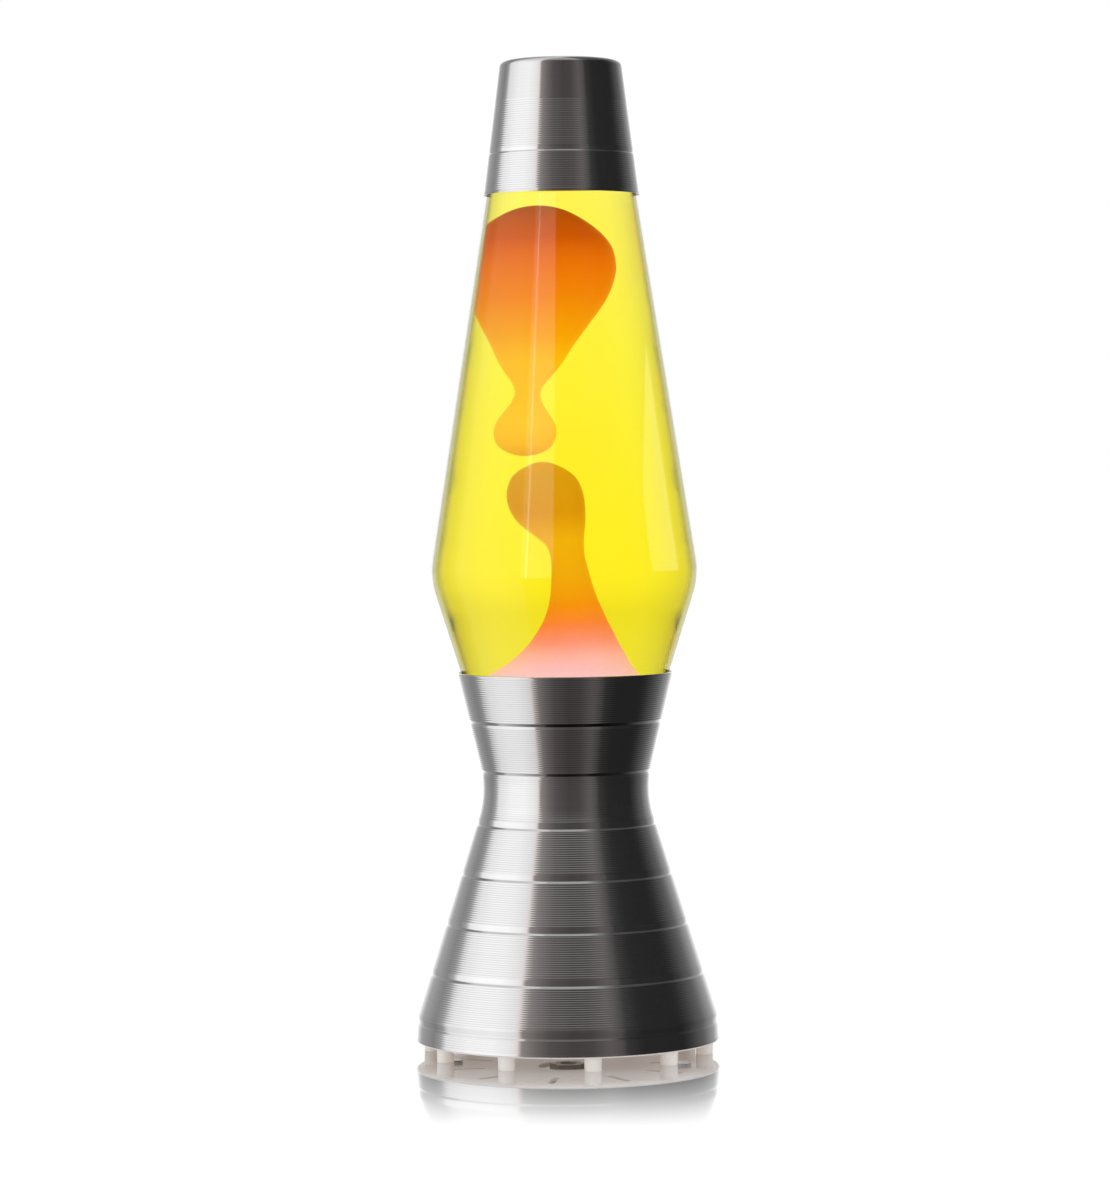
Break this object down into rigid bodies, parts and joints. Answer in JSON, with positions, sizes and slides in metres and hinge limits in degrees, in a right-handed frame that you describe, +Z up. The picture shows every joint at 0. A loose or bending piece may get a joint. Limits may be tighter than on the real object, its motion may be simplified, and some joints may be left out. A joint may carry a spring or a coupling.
{
  "type": "lava lamp",
  "caption": "Lava lamp: sealed glass bottle of wax and yellow liquid on a waisted ribbed metal base with a small bulb inside, under a tapered metal cap.",
  "frame": {"origin": "on the table, at the centre of the ring of pegs, on the lamp's own axis", "axes": "+Z up along the lamp's axis, -Y towards the front"},
  "size_m": [0.132, 0.132, 0.43],
  "materials": {
    "spun_aluminium": "spun, finely ribbed, satin",
    "clear_glass": "clear, smooth",
    "tinned_steel": "tinned, bright",
    "liner": "matt",
    "yellow_liquid": "clear, dyed",
    "orange_wax": "glowing, satin",
    "spring_steel": "drawn wire",
    "white_plastic": "moulded, fine matt",
    "zinc_steel": "zinc plated",
    "brass": "turned, bright",
    "holder_plastic": "moulded, heat resistant",
    "block_plastic": "moulded",
    "brown_sleeve": "silicone sleeve",
    "blue_sleeve": "silicone sleeve",
    "green_yellow_sleeve": "striped sleeve",
    "bulb_glass": "mirrored neck, clear face",
    "bulb_metal": "pressed, bright",
    "black_glass": "fused black insulator",
    "stem_glass": "clear",
    "tungsten": "fine wound wire"
  },
  "bodies": {
    "base": {"base_shell": "spun_aluminium", "base_plate": "white_plastic", "plate_screws": "zinc_steel", "cord_bush": "white_plastic", "holder_strap": "zinc_steel", "strap_nipple": "brass", "nipple_nut": "brass", "holder_cup": "holder_plastic", "holder_insert": "holder_plastic", "holder_skirt": "holder_plastic", "holder_thread": "brass", "centre_contact": "brass", "terminal_screws": "brass", "terminal_block": "block_plastic", "block_screws": "zinc_steel", "block_clamp_screws": "brass", "live_lead": "brown_sleeve", "neutral_lead": "blue_sleeve", "earth_lead": "green_yellow_sleeve", "earth_tag": "tinned_steel", "earth_screw": "zinc_steel"},
    "bottle": {"glass_bottle": "clear_glass", "crown_closure": "tinned_steel", "closure_liner": "liner", "fluid": "yellow_liquid", "wax_column": "orange_wax", "wire_coil": "spring_steel"},
    "cap": {"top_cap": "spun_aluminium"},
    "wax": {"wax_blob": "orange_wax"},
    "bulb_centre": {"bulb_tip": "bulb_metal"},
    "bulb": {"bulb_envelope": "bulb_glass", "bulb_cap": "bulb_metal", "bulb_insulator": "black_glass", "bulb_stem": "stem_glass", "bulb_wires": "bulb_metal", "bulb_filament": "tungsten"}
  },
  "joints": [
    {"name": "bottle_lift", "type": "slide", "parent": "base", "child": "bottle", "axis": [0, 0, 1], "range_m": [0, 0.06]},
    {"name": "cap_lift", "type": "slide", "parent": "bottle", "child": "cap", "axis": [0, 0, 1], "range_m": [0, 0.06]},
    {"name": "wax_rise", "type": "slide", "parent": "bottle", "child": "wax", "axis": [0, 0, 1], "range_m": [0, 0.008], "deforming": ["fluid"]},
    {"name": "bulb_screw_out", "type": "slide", "parent": "base", "child": "bulb_centre", "axis": [0, 0, 1], "range_m": [0, 0.0141]},
    {"name": "bulb_turn", "type": "hinge", "parent": "bulb_centre", "child": "bulb", "pos_m": [0, 0, 0.03], "axis": [0, 0, 1], "range_deg": [0, 1800]}
  ],
  "couplings": [
    {"joint": "bulb_screw_out", "follows": "bulb_turn", "m_per_rad": 0.00044882}
  ]
}
